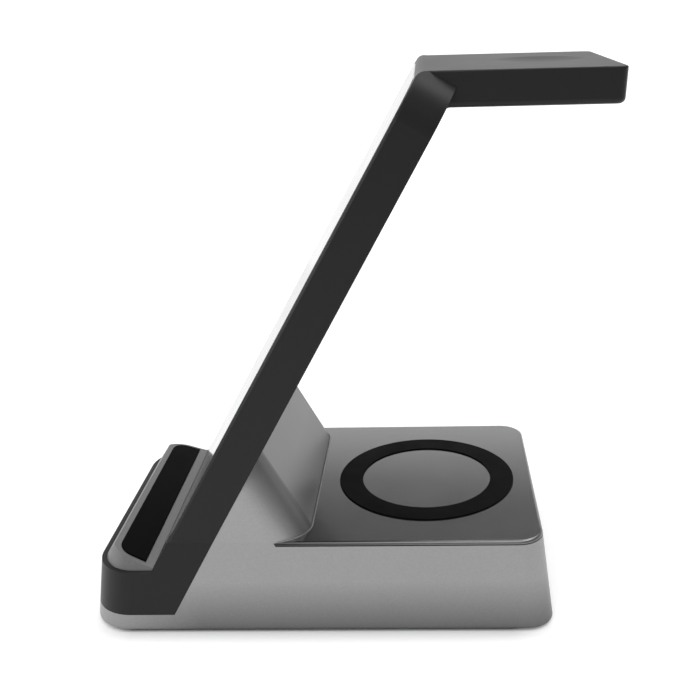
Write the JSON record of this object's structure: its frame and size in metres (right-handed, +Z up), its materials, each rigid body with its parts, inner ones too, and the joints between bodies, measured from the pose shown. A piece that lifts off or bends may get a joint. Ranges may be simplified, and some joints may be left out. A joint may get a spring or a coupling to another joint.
{
  "type": "three in one wireless charger",
  "caption": "Desk stand that charges a phone on a leaning slab, a watch on the flat arm at its top and an earbud case on the low platform behind, fed through an inlet at the rear.",
  "frame": {"origin": "on the floor, under the middle of the bounding box", "axes": "+Z up, -Y towards the person facing the phone, +Y towards the rear wall with the inlet, +X to the right of the person facing the phone"},
  "size_m": [0.093, 0.1638, 0.169],
  "materials": {
    "housing_grey": "satin grey paint with a fine grain",
    "plate_grey": "smooth satin grey",
    "frame_charcoal": "satin charcoal with a fine moulded grain",
    "panel_black": "polished black",
    "tray_grey": "satin grey",
    "pad_black": "soft matt silicone",
    "cover_dark": "matt moulded",
    "foot_rubber": "matt",
    "coil_copper": "enamelled copper wire",
    "ferrite": "sintered, dull",
    "carrier_white": "plain moulded",
    "magnet_plating": "nickel plated",
    "board_green": "solder mask",
    "chip_black": "moulded epoxy",
    "capacitor_tan": "fired",
    "steel": "bright zinc",
    "lead_sheath": "smooth sheath"
  },
  "bodies": {
    "root": {"base_housing": "housing_grey", "platform_plate": "plate_grey", "ring_pad": "pad_black", "bottom_cover": "cover_dark", "rubber_foot_1": "foot_rubber", "rubber_foot_2": "foot_rubber", "rubber_foot_3": "foot_rubber", "rubber_foot_4": "foot_rubber", "stand_frame": "frame_charcoal", "arm_cover": "frame_charcoal", "front_panel": "panel_black", "ledge_tray": "tray_grey", "ledge_pad": "pad_black", "phone_coil_upper": "coil_copper", "phone_coil_lower": "coil_copper", "watch_coil": "coil_copper", "earbud_coil": "coil_copper", "phone_ferrite_upper": "ferrite", "phone_ferrite_lower": "ferrite", "watch_ferrite": "ferrite", "earbud_ferrite": "ferrite", "coil_carrier": "carrier_white", "earbud_coil_holder": "carrier_white", "watch_magnet": "magnet_plating", "main_board": "board_green", "watch_board": "board_green", "controller_chip": "chip_black", "driver_chips": "chip_black", "power_inductors": "chip_black", "filter_capacitors": "capacitor_tan", "lead_sockets": "carrier_white", "usb_c_socket": "steel", "phone_lead_upper": "lead_sheath", "phone_lead_lower": "lead_sheath", "watch_lead": "lead_sheath", "earbud_lead": "lead_sheath", "base_screws": "steel", "frame_screws": "steel", "board_screws": "steel", "arm_cover_screws": "steel"}
  },
  "joints": []
}
